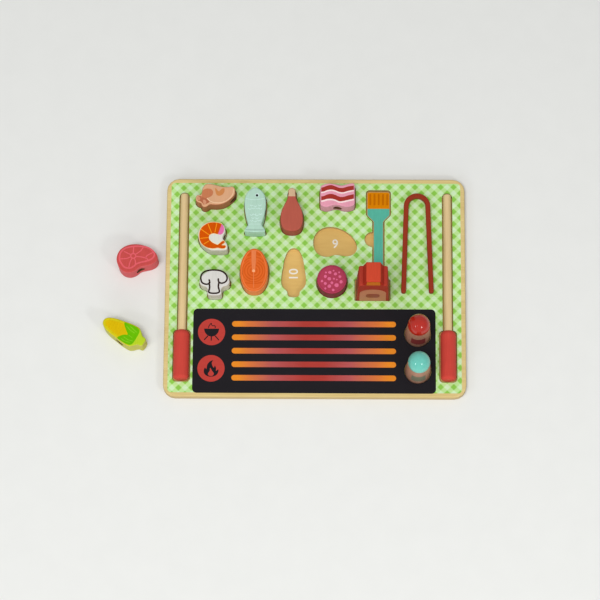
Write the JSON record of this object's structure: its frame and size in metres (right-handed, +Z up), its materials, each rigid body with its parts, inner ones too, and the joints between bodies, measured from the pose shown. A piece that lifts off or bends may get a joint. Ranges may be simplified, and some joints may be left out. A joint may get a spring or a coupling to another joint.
{
  "type": "toy barbecue grill",
  "caption": "Wooden play tray with a flat printed grill and shaped wells that hold pretend food, two skewers, tongs, a basting brush, a sauce bottle and shakers.",
  "frame": {"origin": "centre of the tray's underside", "axes": "+X along the tray's long side, +Y away from the grill towards the row of meat and fish, +Z up, out of the wells"},
  "size_m": [0.3609, 0.225, 0.084],
  "materials": {
    "birch_board": "bare, sanded",
    "gingham_print": "matt print",
    "grill_print": "matt print",
    "glow_print": "matt print",
    "badge_print": "matt print",
    "dowel": "bare, sanded",
    "red_paint": "satin lacquer",
    "tongs_paint": "satin lacquer",
    "brush_paint": "satin lacquer",
    "bottle_paint": "satin lacquer",
    "shaker_wood": "bare, sanded",
    "red_cap_paint": "gloss lacquer",
    "teal_cap_paint": "gloss lacquer",
    "pork_chop": "satin lacquer",
    "fish": "satin lacquer",
    "drumstick": "satin lacquer",
    "bacon": "satin lacquer",
    "shrimp": "satin lacquer",
    "mushroom": "satin lacquer",
    "salmon_steak": "satin lacquer",
    "salami": "satin lacquer",
    "beef_steak": "satin lacquer",
    "corn_cob": "satin lacquer"
  },
  "bodies": {
    "tray": {"base_panel": "birch_board", "top_panel": "birch_board", "gingham_sheet": "gingham_print", "grill_sheet": "grill_print", "grill_bar_1": "glow_print", "grill_bar_2": "glow_print", "grill_bar_3": "glow_print", "grill_bar_4": "glow_print", "grill_bar_5": "glow_print", "kettle_badge": "badge_print", "flame_badge": "badge_print"},
    "left_skewer": {"skewer_left_rod": "dowel", "skewer_left_handle": "red_paint"},
    "right_skewer": {"skewer_right_rod": "dowel", "skewer_right_handle": "red_paint"},
    "tongs": {"tongs_bow": "tongs_paint"},
    "tongs_left": {"tongs_left_arm": "tongs_paint"},
    "tongs_right": {"tongs_right_arm": "tongs_paint"},
    "brush": {"basting_brush": "brush_paint"},
    "bottle": {"sauce_bottle": "bottle_paint"},
    "red_shaker": {"red_shaker_body": "shaker_wood", "red_shaker_cap": "red_cap_paint"},
    "teal_shaker": {"teal_shaker_body": "shaker_wood", "teal_shaker_cap": "teal_cap_paint"},
    "pork_chop_piece": {"pork_chop": "pork_chop"},
    "fish_piece": {"fish": "fish"},
    "drumstick_piece": {"drumstick": "drumstick"},
    "bacon_piece": {"bacon": "bacon"},
    "shrimp_piece": {"shrimp": "shrimp"},
    "mushroom_piece": {"mushroom": "mushroom"},
    "salmon_steak_piece": {"salmon_steak": "salmon_steak"},
    "salami_piece": {"salami": "salami"},
    "beef_steak_piece": {"beef_steak": "beef_steak"},
    "corn_cob_piece": {"corn_cob": "corn_cob"}
  },
  "joints": [
    {"name": "left_skewer_lift", "type": "slide", "parent": "tray", "child": "left_skewer", "axis": [0, 0, 1], "range_m": [0, 0.08]},
    {"name": "right_skewer_lift", "type": "slide", "parent": "tray", "child": "right_skewer", "axis": [0, 0, 1], "range_m": [0, 0.08]},
    {"name": "tongs_lift", "type": "slide", "parent": "tray", "child": "tongs", "axis": [0, 0, 1], "range_m": [0, 0.08]},
    {"name": "brush_lift", "type": "slide", "parent": "tray", "child": "brush", "axis": [0, 0, 1], "range_m": [0, 0.08]},
    {"name": "bottle_lift", "type": "slide", "parent": "tray", "child": "bottle", "axis": [0, 0, 1], "range_m": [0, 0.08]},
    {"name": "red_shaker_lift", "type": "slide", "parent": "tray", "child": "red_shaker", "axis": [0, 0, 1], "range_m": [0, 0.08]},
    {"name": "teal_shaker_lift", "type": "slide", "parent": "tray", "child": "teal_shaker", "axis": [0, 0, 1], "range_m": [0, 0.08]},
    {"name": "pork_chop_lift", "type": "slide", "parent": "tray", "child": "pork_chop_piece", "axis": [0, 0, 1], "range_m": [0, 0.08]},
    {"name": "fish_lift", "type": "slide", "parent": "tray", "child": "fish_piece", "axis": [0, 0, 1], "range_m": [0, 0.08]},
    {"name": "drumstick_lift", "type": "slide", "parent": "tray", "child": "drumstick_piece", "axis": [0, 0, 1], "range_m": [0, 0.08]},
    {"name": "bacon_lift", "type": "slide", "parent": "tray", "child": "bacon_piece", "axis": [0, 0, 1], "range_m": [0, 0.08]},
    {"name": "shrimp_lift", "type": "slide", "parent": "tray", "child": "shrimp_piece", "axis": [0, 0, 1], "range_m": [0, 0.08]},
    {"name": "mushroom_lift", "type": "slide", "parent": "tray", "child": "mushroom_piece", "axis": [0, 0, 1], "range_m": [0, 0.08]},
    {"name": "salmon_steak_lift", "type": "slide", "parent": "tray", "child": "salmon_steak_piece", "axis": [0, 0, 1], "range_m": [0, 0.08]},
    {"name": "salami_lift", "type": "slide", "parent": "tray", "child": "salami_piece", "axis": [0, 0, 1], "range_m": [0, 0.08]},
    {"name": "beef_steak_lift", "type": "slide", "parent": "tray", "child": "beef_steak_piece", "axis": [0, 0, 1], "range_m": [0, 0.08]},
    {"name": "corn_cob_lift", "type": "slide", "parent": "tray", "child": "corn_cob_piece", "axis": [0, 0, 1], "range_m": [0, 0.08]},
    {"name": "tongs_left_flex", "type": "hinge", "parent": "tongs", "child": "tongs_left", "pos_m": [0.09345, 0.08319, 0.0133], "axis": [0, 0, 1], "range_deg": [0, 7.1], "stiffness_Nm_per_rad": 0.3},
    {"name": "tongs_right_flex", "type": "hinge", "parent": "tongs", "child": "tongs_right", "pos_m": [0.11025, 0.08319, 0.0133], "axis": [0, 0, 1], "range_deg": [-7.1, 0], "stiffness_Nm_per_rad": 0.3}
  ],
  "couplings": [
    {"joint": "tongs_right_flex", "follows": "tongs_left_flex", "ratio": -1}
  ]
}
